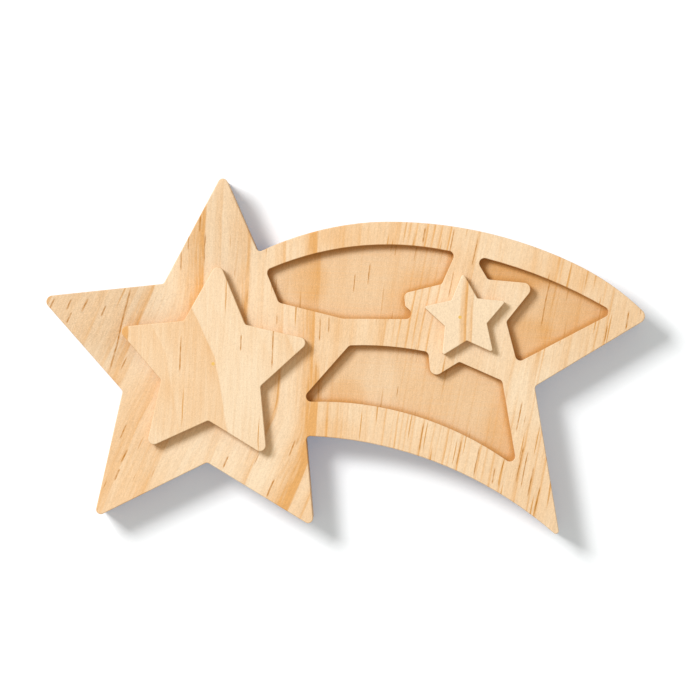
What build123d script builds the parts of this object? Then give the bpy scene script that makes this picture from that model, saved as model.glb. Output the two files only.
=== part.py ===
"""Wooden shooting star: a routed pine board with two raised stars pinned to it.

The board is one piece of solid pine. Its outline joins a large five-pointed star (left) to a comet
tail (right), and its three lower tips end on one line, so it can stand on edge as well as lie flat.
Three shallow pockets are routed into the tail. They leave a star-shaped land, which carries the
small raised star. The large raised star lies on the star end of the board. Each raised star is
held by one headless pin, set below its face and covered with a dab of wood filler.

Millimetres. The outlines are drawn about the middle of the large star: X along the line of the
three lower tips, Y towards the top tip, Z up out of the face. The finished parts are then moved so
that the origin is the middle of the underside's bounding box.
"""
from build123d import *
import math
import os

# --- Driving dimensions -------------------------------------------------------------------------
BOARD_THICKNESS = 18.0
POCKET_DEPTH = 4.5
LARGE_STAR_THICKNESS = 5.0
SMALL_STAR_THICKNESS = 4.0
TIP_RADIUS = 2.0             # outer tips of the board's star
LEFT_TIP_RADIUS = 2.6        # its left tip is blunter
TAIL_TIP_RADIUS = 3.0
TAIL_LOWER_TIP_RADIUS = 1.2
NOTCH_RADIUS = 1.7           # inner corners of the sawn outline
CUTTER_RADIUS = 2.2          # inside corners of the routed pockets
LAND_ARM_RADIUS = 2.8        # arms of the star-shaped land
LAND_LEFT_ARM_RADIUS = 1.0   # lower corner of its blunt left arm
LAND_NOTCH_RADIUS = 1.5      # inner corners of the land
EASED_EDGE = 0.4             # sanded round along the outer edges
EASED_POCKET_EDGE = 0.25     # sanded round along the pocket rims

CUT_MARGIN = 1.0             # a cut runs this far past the face it starts from

# A raised star is a five-pointed star made slightly narrower than it is tall.
STAR_RATIO = 0.507           # inner corner radius / tip radius
STAR_WIDTH_FACTOR = 0.965
LARGE_STAR_RADIUS = 44.3
LARGE_STAR_CENTRE = (-0.4, -0.3)
LARGE_STAR_TURN = -1.3       # degrees, anticlockwise seen from above
LARGE_STAR_TIP_RADIUS = 2.4
LARGE_STAR_NOTCH_RADIUS = 1.5
SMALL_STAR_RADIUS = 18.8
SMALL_STAR_CENTRE = (103.9, 24.2)
SMALL_STAR_TURN = 5.9
SMALL_STAR_TIP_RADIUS = 0.8
SMALL_STAR_NOTCH_RADIUS = 0.6

PIN_DIAMETER = 1.0
PIN_LENGTH = 15.0
FILLER_DIAMETER = 1.4
FILLER_DEPTH = 0.8           # the pin's top is this far below the star's face
LARGE_STAR_PIN = (0.1, 0.8)
SMALL_STAR_PIN = (101.6, 24.3)

# --- Outlines -----------------------------------------------------------------------------------
# Each corner is (x, y, corner radius, radius of the edge that follows it). An edge radius of 0 is
# a straight edge. Edge radii are positive, and every curved edge bows upwards, towards +Y.
BOARD_OUTLINE = [
    (0.7, 80.7, TIP_RADIUS, 0),             # top tip of the star
    (16.6, 47.9, NOTCH_RADIUS, 129.7),      # star meets the top of the tail
    (63.5, 62.5, 0, 178.9),                 # crest of the tail
    (147.9, 49.0, 0, 106.8),
    (180.7, 27.5, TAIL_TIP_RADIUS, 0),      # right tip of the tail
    (134.1, -3.2, NOTCH_RADIUS, 0),         # fork of the tail
    (147.3, -66.1, TAIL_LOWER_TIP_RADIUS, 165.5),
    (39.7, -27.7, NOTCH_RADIUS, 0),         # star meets the underside of the tail
    (44.5, -65.7, TIP_RADIUS, 0),           # lower right tip of the star
    (-1.0, -40.4, NOTCH_RADIUS, 0),
    (-47.2, -65.6, TIP_RADIUS, 0),          # lower left tip of the star
    (-37.4, -12.1, NOTCH_RADIUS, 0),
    (-73.5, 25.7, LEFT_TIP_RADIUS, 0),      # left tip of the star
    (-22.2, 33.2, NOTCH_RADIUS, 0),
]
UPPER_POCKET_OUTLINE = [
    (20.1, 40.6, CUTTER_RADIUS, 124.7),
    (99.0, 51.3, CUTTER_RADIUS, 0),
    (93.7, 37.9, LAND_NOTCH_RADIUS, 0),
    (78.0, 33.4, CUTTER_RADIUS, 0),         # blunt left arm of the land
    (78.9, 27.9, LAND_LEFT_ARM_RADIUS, 0),
    (85.4, 22.9, CUTTER_RADIUS, 0),         # end of the pocket under that arm
    (53.1, 21.8, 0, 0),
    (26.0, 27.4, CUTTER_RADIUS, 0),
]
RIGHT_POCKET_OUTLINE = [
    (106.4, 50.4, CUTTER_RADIUS, 200.5),
    (165.9, 29.1, CUTTER_RADIUS, 0),
    (126.4, 6.3, CUTTER_RADIUS, 0),
    (121.2, 23.3, LAND_NOTCH_RADIUS, 0),
    (133.2, 39.6, LAND_ARM_RADIUS, 0),      # right arm of the land
    (112.8, 40.6, LAND_NOTCH_RADIUS, 0),
]
LOWER_POCKET_OUTLINE = [
    (56.2, 10.7, CUTTER_RADIUS, 135.0),
    (89.3, 9.3, CUTTER_RADIUS, 0),
    (90.7, -2.0, LAND_ARM_RADIUS, 0),       # lower left arm of the land
    (102.3, 5.8, LAND_NOTCH_RADIUS, 0),
    (120.6, -1.4, CUTTER_RADIUS, 0),
    (128.3, -37.5, CUTTER_RADIUS, 135.4),
    (36.3, -13.8, CUTTER_RADIUS, 0),
]


def rounded_face(corners):
    """A flat face from corners given as in the outlines above."""
    edges = []
    for (x, y, _, bow), (next_x, next_y, _, _) in zip(corners, corners[1:] + corners[:1]):
        if bow:
            leftwards = next_x < x
            edges.append(RadiusArc((x, y), (next_x, next_y), -bow if leftwards else bow))
        else:
            edges.append(Line((x, y), (next_x, next_y)))
    face = make_face(edges).face()
    for x, y, radius, _ in corners:
        if radius:
            corner = face.vertices().sort_by_distance((x, y, 0))[0]
            face = face.fillet_2d(radius, [corner])
    return face


def star_corners(radius, turn, tip_radius, notch_radius):
    """Corners of a five-pointed star about the origin, as rounded_face takes them."""
    corners = []
    for step in range(10):
        is_tip = step % 2 == 0
        reach = radius if is_tip else radius * STAR_RATIO
        angle = math.radians(90 + turn - 36 * step)
        x = reach * math.cos(angle) * STAR_WIDTH_FACTOR
        y = reach * math.sin(angle)
        corners.append((x, y, tip_radius if is_tip else notch_radius, 0))
    return corners


def slab(face, bottom, thickness):
    """A solid of the face's shape, from height bottom up."""
    return Pos(0, 0, bottom) * extrude(face, thickness)


def edges_at(part, height):
    """The part's edges that lie wholly at one height."""
    return part.edges().filter_by_position(Axis.Z, height, height)


def rod(centre, bottom, diameter, length):
    """A round rod standing on the plane z = bottom."""
    align = (Align.CENTER, Align.CENTER, Align.MIN)
    return Pos(*centre, bottom) * Cylinder(diameter / 2, length, align=align)


def make_board():
    board = slab(rounded_face(BOARD_OUTLINE), 0, BOARD_THICKNESS)
    board = fillet(edges_at(board, 0) + edges_at(board, BOARD_THICKNESS), EASED_EDGE)
    rim = edges_at(board, BOARD_THICKNESS)
    for outline in (UPPER_POCKET_OUTLINE, RIGHT_POCKET_OUTLINE, LOWER_POCKET_OUTLINE):
        board -= slab(rounded_face(outline), BOARD_THICKNESS - POCKET_DEPTH, POCKET_DEPTH + CUT_MARGIN)
    pocket_rims = [edge for edge in edges_at(board, BOARD_THICKNESS) if edge not in rim]
    return fillet(pocket_rims, EASED_POCKET_EDGE)


def make_star(radius, thickness, centre, turn, tip_radius, notch_radius):
    face = rounded_face(star_corners(radius, turn, tip_radius, notch_radius))
    star = Pos(*centre, 0) * slab(face, BOARD_THICKNESS, thickness)
    return fillet(edges_at(star, BOARD_THICKNESS + thickness), EASED_EDGE)


def make_pin(centre, star_thickness):
    """A headless pin down through a star into the board, and the filler over it."""
    face_height = BOARD_THICKNESS + star_thickness
    pin_top = face_height - FILLER_DEPTH
    pin = rod(centre, pin_top - PIN_LENGTH, PIN_DIAMETER, PIN_LENGTH)
    return pin, rod(centre, pin_top, FILLER_DIAMETER, FILLER_DEPTH)


def main():
    board = make_board()
    large_star = make_star(LARGE_STAR_RADIUS, LARGE_STAR_THICKNESS, LARGE_STAR_CENTRE,
                           LARGE_STAR_TURN, LARGE_STAR_TIP_RADIUS, LARGE_STAR_NOTCH_RADIUS)
    small_star = make_star(SMALL_STAR_RADIUS, SMALL_STAR_THICKNESS, SMALL_STAR_CENTRE,
                           SMALL_STAR_TURN, SMALL_STAR_TIP_RADIUS, SMALL_STAR_NOTCH_RADIUS)
    large_pin, large_filler = make_pin(LARGE_STAR_PIN, LARGE_STAR_THICKNESS)
    small_pin, small_filler = make_pin(SMALL_STAR_PIN, SMALL_STAR_THICKNESS)

    parts = {
        "board": board - large_pin - small_pin,
        "large_star": large_star - large_pin - large_filler,
        "small_star": small_star - small_pin - small_filler,
        "large_star_pin": large_pin,
        "small_star_pin": small_pin,
        "large_star_filler": large_filler,
        "small_star_filler": small_filler,
    }

    box = board.bounding_box()
    to_origin = Pos(-(box.min.X + box.max.X) / 2, -(box.min.Y + box.max.Y) / 2, 0)
    os.makedirs("parts", exist_ok=True)
    for name, part in parts.items():
        export_step(to_origin * part, f"parts/{name}.step")
    print(f"outline {box.size.X:.1f} x {box.size.Y:.1f} mm, moved by {to_origin.position}")


main()
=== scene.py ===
import math

import bpy
from mathutils import Matrix, Vector


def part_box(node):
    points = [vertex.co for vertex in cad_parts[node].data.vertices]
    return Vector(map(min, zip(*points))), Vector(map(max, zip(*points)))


# The looks of the wooden shooting star: pine on the board and the stars, steel on
# the pins, filler over them, then a pale floor, soft light and the camera. The pine
# is three-dimensional, so faces, pocket walls and edges cut through one grain.
# Places and lengths in the materials are in mm, in the row frame. Colours are linear.

MM = 0.001

# ---- the sockets of a Mix node that mixes colours ----
MIX_FACTOR, MIX_FIRST, MIX_SECOND, MIX_RESULT = 0, 6, 7, 2

# ---- camera: metres and degrees, and mm for the lens and the sensor ----
CAMERA_AIM = (0.0025, 0.0019)
CAMERA_DISTANCE = 0.85
CAMERA_TURN = 2.36
CAMERA_LENS = 104.9
CAMERA_SENSOR = 36.0
CAMERA_CLIP = (0.01, 40.0)

# ---- light, in metres: a square softbox up to the left, and a warm surround that
# the camera sees as a plain grey backdrop ----
SOFTBOX_DIRECTION = (-0.79, 0.61)
SOFTBOX_REACH = 0.593
SOFTBOX_HEIGHT = 0.650
SOFTBOX_SIZE = 0.27
SOFTBOX_POWER = 10.3
SOFTBOX_COLOUR = (0.872, 0.945, 1.05)
SURROUND_COLOUR = (0.61, 0.54, 0.42, 1)
BACKDROP_COLOUR = (0.58, 0.58, 0.58, 1)

# ---- floor: a warm white that varies a little, and a faint blue glow that makes it
# neutral under the warm surround ----
FLOOR_WIDTH = 30.0
FLOOR_LOW = (0.877, 0.815, 0.742, 1)
FLOOR_HIGH = (0.887, 0.825, 0.752, 1)
FLOOR_GLOW = (0.0, 0.108, 0.228, 1)
FLOOR_ROUGHNESS = 0.9

# ---- wood colours ----
PALE_WOOD = (0.803, 0.622, 0.424, 1)
DEEP_WOOD = (0.68, 0.354, 0.116, 1)
RESIN = (0.47, 0.19, 0.02, 1)
DEEPEST_TONE = 1.3

# ---- other colours, from dark to light ----
STEEL = ((0.42, 0.41, 0.39, 1), (0.62, 0.61, 0.59, 1))
FILLER = ((0.66, 0.37, 0.07, 1), (0.80, 0.53, 0.16, 1))

# ---- roughness as a middle and a swing, specular level, and depth of the bump in metres ----
WOOD_ROUGHNESS = (0.56, 0.06)
STEEL_ROUGHNESS = (0.32, 0.1)
FILLER_ROUGHNESS = (0.62, 0.1)
WOOD_SPECULAR = 0.3
FILLER_SPECULAR = 0.3
FLOOR_SPECULAR = 0.1
WOOD_BUMP = 0.00004
FILLER_BUMP = 0.00003
FINE_BUMP = 0.00001

# ---- how fine each noise is: features to a mm across the grain, along it and in depth ----
BROAD_GRAIN = (0.06, 0.016, 0.02)
COARSE_FIBRES = (0.45, 0.022, 0.1)
MIDDLE_FIBRES = (1.15, 0.06, 0.4)
FINE_FIBRES = (2.4, 0.65, 1.3)
PORES = (2.6, 2.1, 2.3)
CUTTER_PASSES = (0.04, 1.25, 0.0)
BOARD_WAVE = (0.05, 0.03, 0.03)
STAR_WAVE = (0.06, 0.05, 0.05)
RING_FADING = (0.22, 0.035, 0.04)
RING_BREAKS = (1.4, 0.09, 0.1)
LINE_BREAKS = (1.3, 0.4, 0.0)
DRAWN_LINES = (9.0, 9.0, 0.4)
FILLER_GRIT = (5.0, 5.0, 5.0)
FLOOR_TOOTH = (0.8, 0.8, 0.0)
PORE_NOISE_ROUGHNESS = 0.7
FINE_NOISE_DETAIL = 3.0

# ---- what each part of the pine adds. The tone runs from 0 for pale to 1 for deep,
# the shade is the brightness, and a share of resin colour comes from the ducts and lines and, as
# painted shade, from creases and corners ----
GRAIN_TONE = {"broad": 0.16, "coarse": 0.14, "middle": 0.22, "lines": 1.05}
CUT_TONE = {"end_grain": 0.30, "wall": 0.15}
GRAIN_SHADE = {"middle": -0.035, "end_grain": -0.08, "wall": -0.05, "lines": -0.08}
FINE_SHADE = 0.13
PORE_SHADE = 0.24
GRAIN_HEIGHT = {"fine": 0.6, "middle": 0.4, "ducts": -0.5}
GRAIN_BROWN = {"ducts": 0.85, "lines": 0.12}
# painted shade: within this reach of a wall the wood is browned towards resin, as in a crease that
# little light reaches; the pocket corners use it too
CREASE_REACH = 3.2 * MM
CREASE_OPEN = (0.5, 0.75)
CREASE_PAINTED_SHADE = 0.10
OPEN_SAMPLES = 8
# how straight up or down a face looks: it's a wall below the first and flat above the second
FLAT_FACING = (0.3, 0.9)

# ---- the same for the milled pockets: their floors, the passes of the cutter, and their
# corners, browned partly as the cutter's burn and partly as painted shade. A floor lies above the
# first pair of heights, below the second ----
ABOVE_UNDERSIDE = (1.0, 2.0)
ABOVE_POCKET_FLOOR = (13.6, 13.7)
POCKET_RING_TONE = -0.68
POCKET_PLAIN_TONE = 0.36
POCKET_TONE = {"passes": 0.14, "burn_and_shade": 0.40}
POCKET_SHADE = {"sunk": -0.03, "sunk_pores": 0.05, "passes": 0.04, "burn_and_shade": -0.06}
POCKET_HEIGHT = {"passes": 0.4}
POCKET_ROUGHNESS = {"sunk": 0.08}
CORNER_OPEN = (0.5, 0.95)
CORNER_BURN_AND_SHADE = 0.22
CORNER_WALL_BURN_AND_SHADE = 0.25

# ---- shape of a growth ring. Its end fades over at most so many mm to each side, and at
# most this share of its width. Its middle has this share of the width and strength ----
RING_END = (0.3, 0.3)
RING_MIDDLE = (0.55, 0.45)
RINGS_PER_RAMP = 7
RING_MARGIN = 1.0

# ---- soft marks. A core is the share of its reach where a mark has its full strength,
# across and along in a placed line, whose strength is a middle and a swing. The widths
# and strengths of the drops vary from the first value to the second ----
PATCH_CORE = 0.15
LINE_CORE = (0.3, 0.6)
LINE_STRENGTH = (0.85, 1.0)
DROP_CORE = 0.35
DROP_WIDTHS = (0.65, 1.35)
DROP_STRENGTHS = (0.4, 1.0)

# ---- how the board's grain leans and bends ----
TOP_FACE = 18.0
DEPTH_LEAN = 0.35
RIGHT_LEAN = 0.16
RIGHT_LEAN_SPAN = (-15, 40)
RIGHT_LEAN_PIVOT = 20.0
LEFT_LEAN = 0.29
LEFT_LEAN_SPAN = (-12, 10)
# to the left, the grain leans only below a sloping line through this point
BEND_POINT = (-58.0, 7.8)
BEND_SLOPE = -0.954
BEND_SOFTNESS = 6.0
BOARD_WAVE_SIZE = 1.0
STAR_WAVE_SIZE = 0.8
STAR_BEND_HEIGHT = 3.0

# ---- strength of the board's rings, as a middle and a swing, and its plain tone ----
BREAK_STRENGTH = (1.0, 0.9)
FADING_STRENGTH = (1.25, 0.9)
BOARD_TONE = 0.17
BOARD_DULLNESS = 0.02
STAR_DULLNESS = 0.03

# ---- short resin ducts and thin lines: the cell that holds one, its half width, and
# the share of cells that keep theirs ----
DUCTS = ((2.6, 30), 0.28)
DUCTS_KEPT = 0.03
THIN_LINES = ((1.9, 42), 0.44)
THIN_LINES_KEPT = 0.08
STAR_LINES = ((2.0, 60), 0.30)
STAR_LINES_KEPT = 0.12

# ---- growth rings of the board across the grain: where each starts to darken, where
# it ends sharply, and how dark it gets ----
BOARD_RINGS_UPPER = (
    (-116, -108.2, 0.70), (-99, -92.0, 0.15), (-89, -83.5, 0.25), (-83.0, -78.4, 0.50),
    (-72, -59.6, 0.70), (-57, -52.6, 0.20), (-51, -40.7, 0.50), (-37, -34.5, 0.12),
    (-31, -25.8, 0.38), (-20, -12.8, 0.54), (-7, -2.0, 0.12), (2, 4.0, 0.15),
    (10, 17.8, 0.25), (20.5, 21.4, 0.35), (22.8, 23.8, 0.45), (26.6, 27.8, 0.55),
    (29.6, 30.6, 0.50), (32.4, 33.6, 0.50), (36.3, 37.4, 0.55), (44, 49.6, 0.28),
    (56, 61.0, 0.10), (70, 75.0, 0.14), (78, 84.6, 0.32), (85.0, 86.0, 0.42),
    (89, 96.2, 0.22), (99, 103.5, 0.14), (105, 106.0, 0.35), (108.4, 109.8, 0.40),
)
BOARD_RINGS_LOWER = (
    (-112, -104.0, 0.30), (-98, -88.0, 0.20), (-84, -76.0, 0.45), (-74, -64.8, 0.25),
    (-64, -54.0, 0.26), (-52, -50.6, 0.15), (-47, -39.3, 0.18), (-37, -34.7, 0.14),
    (-32, -25.8, 0.36), (-20, -9.8, 0.85), (-6.6, -5.0, 0.45), (-1.4, -0.2, 0.25),
    (0.9, 2.1, 0.22), (9, 15.7, 0.10), (22.2, 23.6, 0.50), (26.8, 27.6, 0.25),
    (28.9, 30.0, 0.45), (31.6, 32.4, 0.35), (33.8, 34.8, 0.35), (37.0, 38.0, 0.30),
    (41.0, 42.4, 0.50), (46.4, 47.3, 0.35), (49.0, 49.8, 0.25), (52.2, 53.4, 0.50),
    (54.6, 55.4, 0.30), (58.4, 59.8, 0.50), (62.3, 63.2, 0.25), (67.0, 68.3, 0.45),
    (70.0, 71.0, 0.35), (73.1, 74.3, 0.45), (77.6, 78.8, 0.30), (83, 86.0, 0.30),
    (91.0, 92.0, 0.40), (94.6, 96.0, 0.45),
)
# the lower rings fade out and the upper ones fade in between these heights
RING_CHANGE = (-28, 5)

# ---- broad tone patches of the board: centre, half widths, added tone ----
BOARD_PATCHES = (
    ((-55, 58), (20, 30), 0.05),
    ((-103, 15), (34, 22), 0.17),
    ((20, 52), (80, 12), 0.13),
    ((32, 44), (26, 16), 0.08),
    ((16, 12), (34, 12), 0.14),
    ((94, 41), (40, 16), 0.22),
    ((-9, 5), (16, 75), 0.20),
    ((-95, -40), (42, 40), 0.17),
    ((10, -45), (45, 22), 0.06),
    ((118, 14), (28, 22), 0.22),
    ((76, -46), (26, 40), 0.12),
    ((-53, -48), (32, 18), -0.14),
    ((-85, 20), (12, 11), -0.14),
    ((82, -15), (17, 17), -0.14),
    ((65, 50), (24, 13), -0.14),
    ((-18, -66), (15, 13), 0.17),
    ((0, 49), (14, 8), 0.12),
    ((47, 36), (13, 12), 0.10),
    ((-2, -34), (13, 9), 0.14),
)

# ---- the same for the pocket floors ----
POCKET_PATCHES = (
    ((104, 20), (26, 26), 0.15),
    # this patch is partly the floor's own colour and partly painted shade, where a shadow falls
    # beside the pocket's upper wall
    ((68, 36), (22, 11), 0.42),
    ((32, 24), (18, 17), 0.26),
    ((-16, 30), (10, 13), 0.25),
    ((2, -17), (10, 9), 0.20),
    ((68, -32), (11, 24), 0.22),
    ((56, -6), (20, 14), 0.05),
    ((77, 10), (14, 11), 0.26),
    ((16, -12), (9, 17), -0.14),
    ((91, 18), (24, 13), 0.10),
    ((36, -16), (13, 13), 0.08),
)

# ---- duller wood: centre, half widths, lost brightness ----
DULL_PATCHES = (
    ((-106, 14), (40, 30), 0.11),
    ((112, 10), (42, 30), 0.02),
    ((-55, 50), (30, 26), 0.08),
    ((-75, -10), (40, 50), 0.03),
)

# ---- where the pores show more: centre, half widths, added brightness of the pores ----
SPECKLED_PATCHES = (
    ((-108, 14), (30, 18), 0.09),
)

# ---- where ducts and thin lines gather: centre, half widths, added share of cells ----
DUCT_AREAS = (
    ((-106, 14), (26, 16), 0.15),
    ((-55, 50), (16, 26), 0.30),
    ((-92, -48), (24, 22), 0.25),
    ((-38, 18), (16, 24), 0.20),
    ((-28, -48), (22, 16), 0.22),
    ((84, -44), (20, 34), 0.25),
)
LINE_AREAS = (
    ((47, -38), (36, 18), 0.15),
    ((34, 50), (30, 12), 0.35),
    ((45, 12), (28, 26), 0.12),
    ((84, -44), (20, 34), 0.55),
    ((100, 20), (26, 26), 0.15),
)

# ---- the plainest dark resin lines: across the grain, height, half length, half width ----
BOARD_LINES = (
    (-102.0, 16, 2.6, 0.41),
    (-97.0, 16, 3.2, 0.46),
    (-100.0, 10.5, 2.6, 0.43),
    (-107.0, 16, 2.8, 0.38),
    (-90.6, 14, 2.6, 0.38),
    (-61.9, 52, 4.0, 0.49),
    (-66.2, 44, 3.5, 0.35),
    (-69.0, 36, 4.5, 0.38),
    (-59.5, 41, 6.5, 0.30),
    (-65.0, -46, 3.2, 0.41),
    (-64.6, -54, 2.8, 0.41),
    (-68.5, -36, 3.4, 0.35),
    (-34.6, -47, 3.0, 0.41),
    (-17.4, -57, 4.4, 0.41),
    (-16.3, -40, 4.0, 0.38),
    (-10.5, 10, 5.5, 0.35),
    (-6.8, 12, 3.6, 0.32),
    (7.0, 34, 5.0, 0.35),
    (1.5, 30, 4.4, 0.32),
    (26.6, 51, 3.6, 0.46),
    (38.4, 48, 7.0, 0.43),
    (48.6, 45, 6.5, 0.35),
    (41.8, 31, 6.0, 0.35),
    (81.0, 26, 13.0, 0.41),
    (109.8, 13, 4.0, 0.38),
    (117.6, 19, 4.4, 0.49),
    (42.1, -33, 6.5, 0.46),
    (59.2, -39, 6.0, 0.38),
    (67.4, -42, 7.0, 0.41),
    (80.8, -23, 7.0, 0.43),
    (85.2, -43, 9.0, 0.49),
    (87.6, -45, 9.0, 0.38),
    (91.2, -50, 7.0, 0.46),
    (95.4, -57, 6.0, 0.41),
    (75.4, -48, 3.8, 0.43),
)

# ---- the same for a long line that leans from the rings, by so many mm in each mm ----
LINE_LEAN = 0.13
LEANING_LINES = ((-82.45, 6.5, 21.0, 0.40),)

# ---- the wood of the glued-on stars, measured from each star's filler dot. The rings
# lean by the slope, and by the bend near the top of the star ----
STAR_WOOD = {
    "large_star": {
        "slope": -0.22,
        "bend": 0.30,
        "rings": (
            (-38, -33.5, 0.25), (-31, -19, 0.14), (-18, 1.1, 0.42),
            (6, 11.0, 0.06), (16, 24.5, 0.08), (30, 36, 0.2),
        ),
        "tone": 0.14,
        "lines": (
            (-13.7, 3.2, 8.4, 0.42),
            (24.4, 7.8, 9.5, 0.40),
            (11.2, 9.2, 3.8, 0.36),
        ),
        "patches": (
            ((-39.0, 11.8), (4.2, 7), 1.1),
            ((-26, 4), (26, 28), 0.17),
            ((-14, -19), (14, 17), 0.17),
            ((14, -15), (20, 22), -0.13),
        ),
    },
    "small_star": {
        "slope": 0.016,
        "bend": 0.0,
        "rings": (
            (-12, -8.5, 0.2), (-6, -3.6, 0.08), (-0.6, 2.7, 0.75),
            (2.9, 5.3, 0.48), (8, 13, 0.2),
        ),
        "tone": -0.13,
        "lines": (),
        "patches": (
            ((2.4, -2.0), (3.8, 26), 0.36),
        ),
    },
}


class Surface:
    """One material and the nodes that make it. Most methods return a socket."""

    def __init__(self, name):
        self.material = bpy.data.materials.new(name)
        self.material.use_nodes = True
        self.nodes = self.material.node_tree.nodes
        self.links = self.material.node_tree.links
        self.nodes.clear()

    def add(self, kind, inputs, **settings):
        """A new node with its settings, and its inputs linked or set. It returns the node."""
        node = self.nodes.new(kind)
        for key, value in settings.items():
            setattr(node, key, value)
        for key, value in inputs.items():
            if isinstance(value, bpy.types.NodeSocket):
                self.links.new(value, node.inputs[key])
            else:
                node.inputs[key].default_value = value
        return node

    def math(self, operation, first, second=0.0, third=0.0):
        node = self.add("ShaderNodeMath", {0: first, 1: second, 2: third}, operation=operation)
        return node.outputs[0]

    def plus(self, first, second):
        return self.math("ADD", first, second)

    def minus(self, first, second):
        return self.math("SUBTRACT", first, second)

    def times(self, first, second):
        return self.math("MULTIPLY", first, second)

    def plus_times(self, base, first, second):
        return self.math("MULTIPLY_ADD", first, second, base)

    def vary(self, noise, middle, swing):
        """The middle, plus or minus the swing as the noise goes."""
        return self.plus_times(middle, noise, swing)

    def between(self, share, low, high):
        """From low where the share is 0 to high where it is 1."""
        return self.plus_times(low, share, high - low)

    def gather(self, base, amounts, parts):
        """The base plus each named part times its amount."""
        total = base
        for name, amount in amounts.items():
            total = self.plus(total, self.times(parts[name], amount))
        return total

    def remap(self, value, low, high, out_low=0.0, out_high=1.0):
        """A smooth step from out_low at low to out_high at high."""
        inputs = {0: value, 1: low, 2: high, 3: out_low, 4: out_high}
        return self.add("ShaderNodeMapRange", inputs, interpolation_type="SMOOTHSTEP").outputs[0]

    def vector(self, place, scales):
        """A vector from the three values of the place, each times its scale."""
        x, y, z = (self.times(value, scale) for value, scale in zip(place, scales))
        return self.add("ShaderNodeCombineXYZ", {0: x, 1: y, 2: z}).outputs[0]

    def noise(self, place, fineness, detail=2.0, roughness=0.5):
        """Smooth noise about 0, between -1 and 1."""
        vector = self.vector(place, fineness)
        inputs = {"Vector": vector, "Scale": 1.0, "Detail": detail, "Roughness": roughness}
        value = self.add("ShaderNodeTexNoise", inputs).outputs[0]
        return self.between(value, -1.0, 1.0)

    def mix(self, factor, first, second):
        """The first colour where the factor is 0 and the second where it is 1."""
        inputs = {MIX_FACTOR: factor, MIX_FIRST: first, MIX_SECOND: second}
        return self.add("ShaderNodeMix", inputs, data_type="RGBA").outputs[MIX_RESULT]

    def scale_vector(self, vector, value):
        """The vector or colour times the value."""
        inputs = {"Vector": vector, "Scale": value}
        return self.add("ShaderNodeVectorMath", inputs, operation="SCALE").outputs[0]

    def open_share(self, reach):
        """The share of the directions that is open for the reach: 1 on a flat, 0.5 in a corner."""
        inputs = {"Distance": reach}
        node = self.add("ShaderNodeAmbientOcclusion", inputs, samples=OPEN_SAMPLES)
        return node.outputs["AO"]

    def ramp(self, value, low, high, stops):
        """A grey colour ramp over the value from low to high."""
        share = self.math("DIVIDE", self.minus(value, low), high - low)
        node = self.add("ShaderNodeValToRGB", {0: share})
        points = node.color_ramp.elements
        while len(points) < len(stops):
            points.new(0.5)
        # every place is set before any grey, because setting a place can reorder the points
        for point, (place, _) in zip(points, stops):
            point.position = (place - low) / (high - low)
        for point, (_, grey) in zip(points, stops):
            point.color = (grey, grey, grey, 1)
        return node.outputs[0]

    def finish(self, colour, roughness, height, depth, **settings):
        """The material, with a bump of the given depth in metres."""
        bump = self.add("ShaderNodeBump", {"Height": height, "Distance": depth, "Strength": 1.0})
        inputs = {"Base Color": colour, "Roughness": roughness, "Normal": bump.outputs[0]}
        shader = self.add("ShaderNodeBsdfPrincipled", {**inputs, **settings})
        output = self.nodes.new("ShaderNodeOutputMaterial")
        self.links.new(shader.outputs[0], output.inputs[0])
        return self.material


def ring_stops(rings, low, high):
    """Ramp stops from low to high: each ring darkens slowly and ends sharply."""
    stops = [(low, 0.0)]
    for start, end, strength in rings:
        width = end - start
        sharp = min(RING_END[0], RING_END[1] * width)
        stops += [
            (start, 0.0),
            (start + RING_MIDDLE[0] * width, RING_MIDDLE[1] * strength),
            (end - sharp, strength),
            (end + sharp, 0.0),
        ]
    return stops + [(high, 0.0)]


def ring_pattern(s, across, rings):
    """The darkness of the rings. They share several ramps, as a ramp holds only 32 stops."""
    total = 0.0
    for first in range(0, len(rings), RINGS_PER_RAMP):
        group = rings[first:first + RINGS_PER_RAMP]
        low, high = group[0][0] - RING_MARGIN, group[-1][1] + RING_MARGIN
        part = s.ramp(across, low, high, ring_stops(group, low, high))
        total = s.math("MAXIMUM", total, part)
    return total


def wood_place(s):
    """Where a point is in the row frame, in mm."""
    place = s.add("ShaderNodeTexCoord", {}).outputs["Object"]
    return s.add("ShaderNodeSeparateXYZ", {0: s.scale_vector(place, 1 / MM)}).outputs[:]


def patches_sum(s, x, y, patches, base):
    """The base amount plus soft oval patches, each with its own added amount."""
    total = base
    for (cx, cy), (wx, wy), amount in patches:
        dx = s.times(s.minus(x, float(cx)), 1 / wx)
        dy = s.times(s.minus(y, float(cy)), 1 / wy)
        reach = s.plus_times(s.times(dy, dy), dx, dx)
        total = s.plus(total, s.remap(reach, PATCH_CORE, 1.0, float(amount), 0.0))
    return total


def grain_drops(s, place, cell, width, kept):
    """Long thin drops along the grain, one to a cell of the given size, some left out."""
    point = s.vector((*place, 0.0), (1 / cell[0], 1 / cell[1], 0.0))
    inputs = {"Vector": point, "Scale": 1.0, "Randomness": 1.0}
    cells = s.add("ShaderNodeTexVoronoi", inputs, voronoi_dimensions="2D")
    chance = s.add("ShaderNodeSeparateColor", {0: cells.outputs["Color"]}).outputs
    reach = width / cell[0]
    size = s.between(chance[1], DROP_WIDTHS[0] * reach, DROP_WIDTHS[1] * reach)
    drop = s.remap(s.math("DIVIDE", cells.outputs["Distance"], size), DROP_CORE, 1.0, 1.0, 0.0)
    keep = s.math("LESS_THAN", chance[0], kept)
    return s.times(s.times(drop, keep), s.between(chance[2], *DROP_STRENGTHS))


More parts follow.
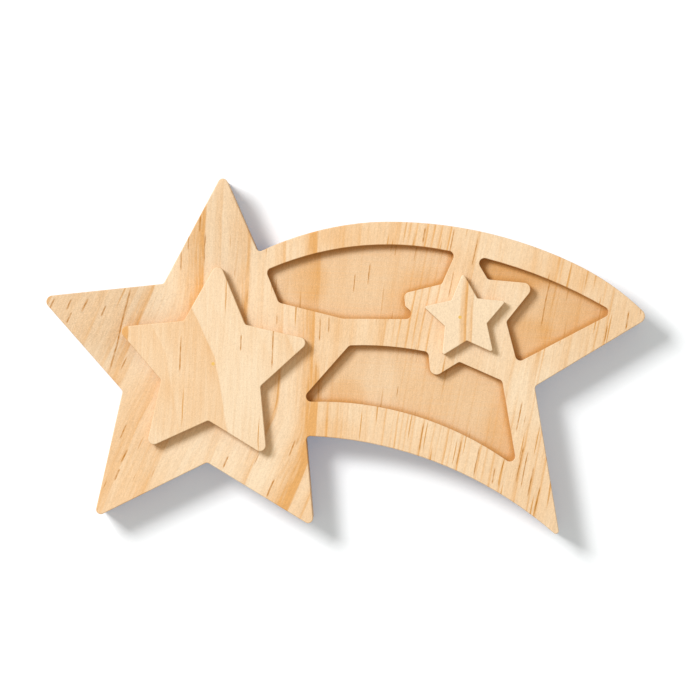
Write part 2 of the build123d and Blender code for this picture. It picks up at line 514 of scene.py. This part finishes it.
def placed_lines(s, across, y, lines):
    """The placed dark lines, uneven along their length."""
    total = 0.0
    for place, height, half, width in lines:
        side = s.math("ABSOLUTE", s.minus(across, float(place)))
        end = s.math("ABSOLUTE", s.minus(y, float(height)))
        side = s.remap(side, LINE_CORE[0] * width, width, 1.0, 0.0)
        end = s.remap(end, LINE_CORE[1] * half, half, 1.0, 0.0)
        total = s.math("MAXIMUM", total, s.times(side, end))
    uneven = s.noise((across, y, 0.0), LINE_BREAKS)
    total = s.times(total, s.vary(uneven, *LINE_STRENGTH))
    return s.math("MAXIMUM", total, 0.0)


def mill_pockets(s, place, parts, looks):
    """Change the looks on the milled floors, which are redder with softer rings, and in
    the corners of the pockets, which are browned partly as cutter burn and partly as painted
    shade."""
    x, y, z = place
    sunk = s.times(s.remap(z, *ABOVE_POCKET_FLOOR, 1.0, 0.0), parts["flat"])
    sunk = s.times(sunk, s.remap(z, *ABOVE_UNDERSIDE))
    # painted shade in part: corners where the walls keep light out are browned and darkened,
    # together with the cutter's burn
    corner = s.remap(parts["open"], *CORNER_OPEN, 1.0, 0.0)
    burn_and_shade = s.times(corner, s.math("MAXIMUM", sunk, parts["wall"]))
    milled = {
        "sunk": sunk,
        "sunk_pores": s.times(parts["pores"], sunk),
        "passes": s.times(s.noise(place, CUTTER_PASSES), sunk),
        "burn_and_shade": burn_and_shade,
    }
    tone = s.plus_times(looks["tone"], s.times(looks["tone"], sunk), POCKET_RING_TONE)
    patches = patches_sum(s, x, y, POCKET_PATCHES, POCKET_PLAIN_TONE)
    looks["tone"] = s.gather(s.plus_times(tone, sunk, patches), POCKET_TONE, milled)
    looks["shade"] = s.gather(looks["shade"], POCKET_SHADE, milled)
    looks["height"] = s.gather(looks["height"], POCKET_HEIGHT, milled)
    looks["roughness"] = s.gather(looks["roughness"], POCKET_ROUGHNESS, milled)
    corner_burn_and_shade = s.plus_times(CORNER_BURN_AND_SHADE, parts["wall"], CORNER_WALL_BURN_AND_SHADE)
    looks["resin_and_painted_shade"] = s.plus_times(looks["resin_and_painted_shade"], burn_and_shade, corner_burn_and_shade)


def pine(s, place, across, darkness, ducts, lines, dull, speckle=0.0, has_pockets=False):
    """Pine from the darkness of its rings, its ducts, its thin lines, its lost brightness
    and the added contrast of its pores."""
    grain = (across, *place[1:])
    normal = s.add("ShaderNodeNewGeometry", {}).outputs["Normal"]
    facing = s.add("ShaderNodeSeparateXYZ", {0: normal}).outputs
    flat = s.remap(s.math("ABSOLUTE", facing[2]), *FLAT_FACING)
    wall = s.minus(1.0, flat)
    parts = {
        "broad": s.noise(grain, BROAD_GRAIN),
        "coarse": s.noise(grain, COARSE_FIBRES),
        "middle": s.noise(grain, MIDDLE_FIBRES),
        "fine": s.noise(grain, FINE_FIBRES),
        "pores": s.noise(place, PORES, roughness=PORE_NOISE_ROUGHNESS),
        "ducts": ducts,
        "lines": lines,
        "flat": flat,
        "wall": wall,
        "end_grain": s.times(s.math("ABSOLUTE", facing[1]), wall),
        "open": s.open_share(CREASE_REACH),
    }

    tone = s.math("MAXIMUM", s.gather(darkness, GRAIN_TONE, parts), 0.0)
    shade = s.vary(parts["fine"], s.minus(1.0, dull), FINE_SHADE)
    shade = s.plus_times(shade, parts["pores"], s.plus(PORE_SHADE, speckle))
    # painted shade: flat wood close to a wall, where little light gets in, is browned towards
    # resin
    crease_shade = s.remap(parts["open"], *CREASE_OPEN, CREASE_PAINTED_SHADE, 0.0)
    looks = {
        "tone": s.gather(tone, CUT_TONE, parts),
        "shade": s.gather(shade, GRAIN_SHADE, parts),
        "height": s.gather(0.0, GRAIN_HEIGHT, parts),
        "roughness": s.vary(parts["fine"], *WOOD_ROUGHNESS),
        "resin_and_painted_shade": s.gather(s.times(crease_shade, flat), GRAIN_BROWN, parts),
    }
    if has_pockets:
        mill_pockets(s, place, parts, looks)

    colour = s.mix(s.math("MINIMUM", looks["tone"], DEEPEST_TONE), PALE_WOOD, DEEP_WOOD)
    colour = s.mix(looks["resin_and_painted_shade"], colour, RESIN)
    colour = s.scale_vector(colour, looks["shade"])
    settings = {"Specular IOR Level": WOOD_SPECULAR}
    return s.finish(colour, looks["roughness"], looks["height"], WOOD_BUMP, **settings)


def board_pine():
    """The board's grain bends round a knot outside the wood: it fans out to the left."""
    s = Surface("board_pine")
    x, y, z = place = wood_place(s)
    right_lean = s.remap(x, *RIGHT_LEAN_SPAN, 0.0, RIGHT_LEAN)
    right_lean = s.times(right_lean, s.minus(y, RIGHT_LEAN_PIVOT))
    bend_line = s.plus_times(BEND_POINT[1], s.minus(x, BEND_POINT[0]), BEND_SLOPE)
    below = s.minus(bend_line, y)
    # how far below the line, with the change at the line rounded off
    depth = s.math("SQRT", s.plus_times(BEND_SOFTNESS ** 2, below, below))
    depth = s.times(s.plus(below, depth), 0.5)
    left_lean = s.times(s.remap(x, *LEFT_LEAN_SPAN, LEFT_LEAN, 0.0), depth)
    across = s.plus(s.minus(x, right_lean), left_lean)
    across = s.plus(across, s.times(s.minus(z, TOP_FACE), DEPTH_LEAN))
    across = s.plus_times(across, s.noise(place, BOARD_WAVE), BOARD_WAVE_SIZE)

    grain = (across, y, z)
    upper = ring_pattern(s, across, BOARD_RINGS_UPPER)
    lower = ring_pattern(s, across, BOARD_RINGS_LOWER)
    share = s.remap(y, *RING_CHANGE)
    rings = s.plus(s.times(upper, share), s.times(lower, s.minus(1.0, share)))
    rings = s.times(rings, s.vary(s.noise(grain, RING_BREAKS), *BREAK_STRENGTH))
    rings = s.times(rings, s.vary(s.noise(grain, RING_FADING), *FADING_STRENGTH))
    darkness = patches_sum(s, x, y, BOARD_PATCHES, s.plus(rings, BOARD_TONE))

    ducts = grain_drops(s, (across, y), *DUCTS, patches_sum(s, x, y, DUCT_AREAS, DUCTS_KEPT))
    ducts = s.math("MAXIMUM", ducts, placed_lines(s, across, y, BOARD_LINES))
    leaning = s.plus_times(across, y, LINE_LEAN)
    ducts = s.math("MAXIMUM", ducts, placed_lines(s, leaning, y, LEANING_LINES))
    lines_kept = patches_sum(s, x, y, LINE_AREAS, THIN_LINES_KEPT)
    lines = grain_drops(s, (across, y), *THIN_LINES, lines_kept)
    dull = patches_sum(s, x, y, DULL_PATCHES, BOARD_DULLNESS)
    speckle = patches_sum(s, x, y, SPECKLED_PATCHES, 0.0)
    return pine(s, place, across, darkness, ducts, lines, dull, speckle, has_pockets=True)


def star_pine(star):
    """The wood of a glued-on star. Its fibres run along y, and its rings lean and bend."""
    wood = STAR_WOOD[star]
    low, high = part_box(star + "_filler")
    centre = (low + high) / 2 / MM
    s = Surface(star + "_pine")
    x, y, z = wood_place(s)
    x = s.minus(x, centre.x)
    y = s.minus(y, centre.y)
    place = (x, y, z)
    side = s.plus_times(x, s.noise(place, STAR_WAVE), STAR_WAVE_SIZE)
    top = s.math("MAXIMUM", s.minus(y, STAR_BEND_HEIGHT), 0.0)
    across = s.plus_times(side, y, -wood["slope"])
    across = s.plus_times(across, top, wood["bend"])
    darkness = s.plus(ring_pattern(s, across, wood["rings"]), wood["tone"])
    darkness = patches_sum(s, x, y, wood["patches"], darkness)
    ducts = placed_lines(s, x, y, wood["lines"])
    lines = grain_drops(s, (side, y), *STAR_LINES, STAR_LINES_KEPT)
    return pine(s, place, side, darkness, ducts, lines, STAR_DULLNESS)


def pin_steel():
    """Bright drawn wire, with fine lines along it."""
    s = Surface("pin_steel")
    drawn = s.noise(wood_place(s), DRAWN_LINES, FINE_NOISE_DETAIL)
    colour = s.mix(s.vary(drawn, 0.5, 0.5), *STEEL)
    roughness = s.vary(drawn, *STEEL_ROUGHNESS)
    return s.finish(colour, roughness, drawn, FINE_BUMP, Metallic=1.0)


def wood_filler():
    """Ochre filler paste over the pin heads, a little grainy."""
    s = Surface("wood_filler")
    grit = s.noise(wood_place(s), FILLER_GRIT, FINE_NOISE_DETAIL)
    colour = s.mix(s.vary(grit, 0.5, 0.5), *FILLER)
    roughness = s.vary(grit, *FILLER_ROUGHNESS)
    settings = {"Specular IOR Level": FILLER_SPECULAR}
    return s.finish(colour, roughness, grit, FILLER_BUMP, **settings)


def paint(names, material):
    """The material on the CAD nodes with these names, in place of what they had."""
    for name in names:
        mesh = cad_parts[name].data
        mesh.materials.clear()
        mesh.materials.append(material)


def make_materials():
    paint(["board"], board_pine())
    for star in STAR_WOOD:
        paint([star], star_pine(star))
    paint(["large_star_pin", "small_star_pin"], pin_steel())
    paint(["large_star_filler", "small_star_filler"], wood_filler())


def make_floor():
    """A plain matte white floor under the board."""
    s = Surface("studio_floor")
    tooth = s.noise(wood_place(s), FLOOR_TOOTH)
    colour = s.mix(s.vary(tooth, 0.5, 0.5), FLOOR_LOW, FLOOR_HIGH)
    settings = {
        "Specular IOR Level": FLOOR_SPECULAR,
        "Emission Color": FLOOR_GLOW,
        "Emission Strength": 1.0,
    }
    material = s.finish(colour, FLOOR_ROUGHNESS, tooth, FINE_BUMP, **settings)
    half = FLOOR_WIDTH / 2
    corners = [(-half, -half, 0), (half, -half, 0), (half, half, 0), (-half, half, 0)]
    mesh = bpy.data.meshes.new("floor")
    mesh.from_pydata(corners, [], [(0, 1, 2, 3)])
    mesh.materials.append(material)
    floor = bpy.data.objects.new("floor", mesh)
    bpy.context.scene.collection.objects.link(floor)


def make_softbox():
    """A softbox up to the left, as bright near as far."""
    turn = Matrix.Rotation(math.radians(CAMERA_TURN), 3, "Z")
    side = Vector((*SOFTBOX_DIRECTION, 0)).normalized() * SOFTBOX_REACH
    place = turn @ side + Vector((0, 0, SOFTBOX_HEIGHT))
    box = bpy.data.lights.new("softbox", "AREA")
    box.size = SOFTBOX_SIZE
    box.energy = SOFTBOX_POWER
    box.color = SOFTBOX_COLOUR
    box.use_nodes = True
    nodes = box.node_tree.nodes
    falloff = nodes.new("ShaderNodeLightFalloff")
    falloff.inputs["Strength"].default_value = 1.0
    box.node_tree.links.new(falloff.outputs["Constant"], nodes["Emission"].inputs["Strength"])
    softbox = bpy.data.objects.new("softbox", box)
    softbox.location = place
    softbox.rotation_mode = "QUATERNION"
    softbox.rotation_quaternion = place.to_track_quat("Z", "Y")
    bpy.context.scene.collection.objects.link(softbox)


def make_surround():
    """A warm even surround, which the camera sees as a plain grey backdrop."""
    world = bpy.data.worlds.new("studio")
    world.use_nodes = True
    nodes, links = world.node_tree.nodes, world.node_tree.links
    seen = nodes.new("ShaderNodeLightPath").outputs["Is Camera Ray"]
    mix = nodes.new("ShaderNodeMix")
    mix.data_type = "RGBA"
    mix.inputs[MIX_FIRST].default_value = SURROUND_COLOUR
    mix.inputs[MIX_SECOND].default_value = BACKDROP_COLOUR
    links.new(seen, mix.inputs[MIX_FACTOR])
    links.new(mix.outputs[MIX_RESULT], nodes["Background"].inputs["Color"])
    bpy.context.scene.world = world


def make_camera():
    """Straight down on the board, turned a little about the vertical."""
    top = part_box("board")[1].z
    data = bpy.data.cameras.new("camera")
    data.lens = CAMERA_LENS
    data.sensor_width = CAMERA_SENSOR
    data.clip_start, data.clip_end = CAMERA_CLIP
    camera = bpy.data.objects.new("camera", data)
    camera.location = (*CAMERA_AIM, top + CAMERA_DISTANCE)
    camera.rotation_euler = (0, 0, math.radians(CAMERA_TURN))
    bpy.context.scene.collection.objects.link(camera)
    bpy.context.scene.camera = camera


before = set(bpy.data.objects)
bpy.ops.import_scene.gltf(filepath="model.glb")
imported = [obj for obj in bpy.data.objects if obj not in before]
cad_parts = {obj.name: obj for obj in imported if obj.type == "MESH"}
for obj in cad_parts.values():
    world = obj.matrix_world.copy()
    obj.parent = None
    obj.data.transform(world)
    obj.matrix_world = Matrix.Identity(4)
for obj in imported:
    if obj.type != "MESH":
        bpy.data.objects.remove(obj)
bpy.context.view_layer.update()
bpy.context.scene.view_settings.view_transform = "Standard"
make_materials()
make_floor()
make_softbox()
make_surround()
make_camera()
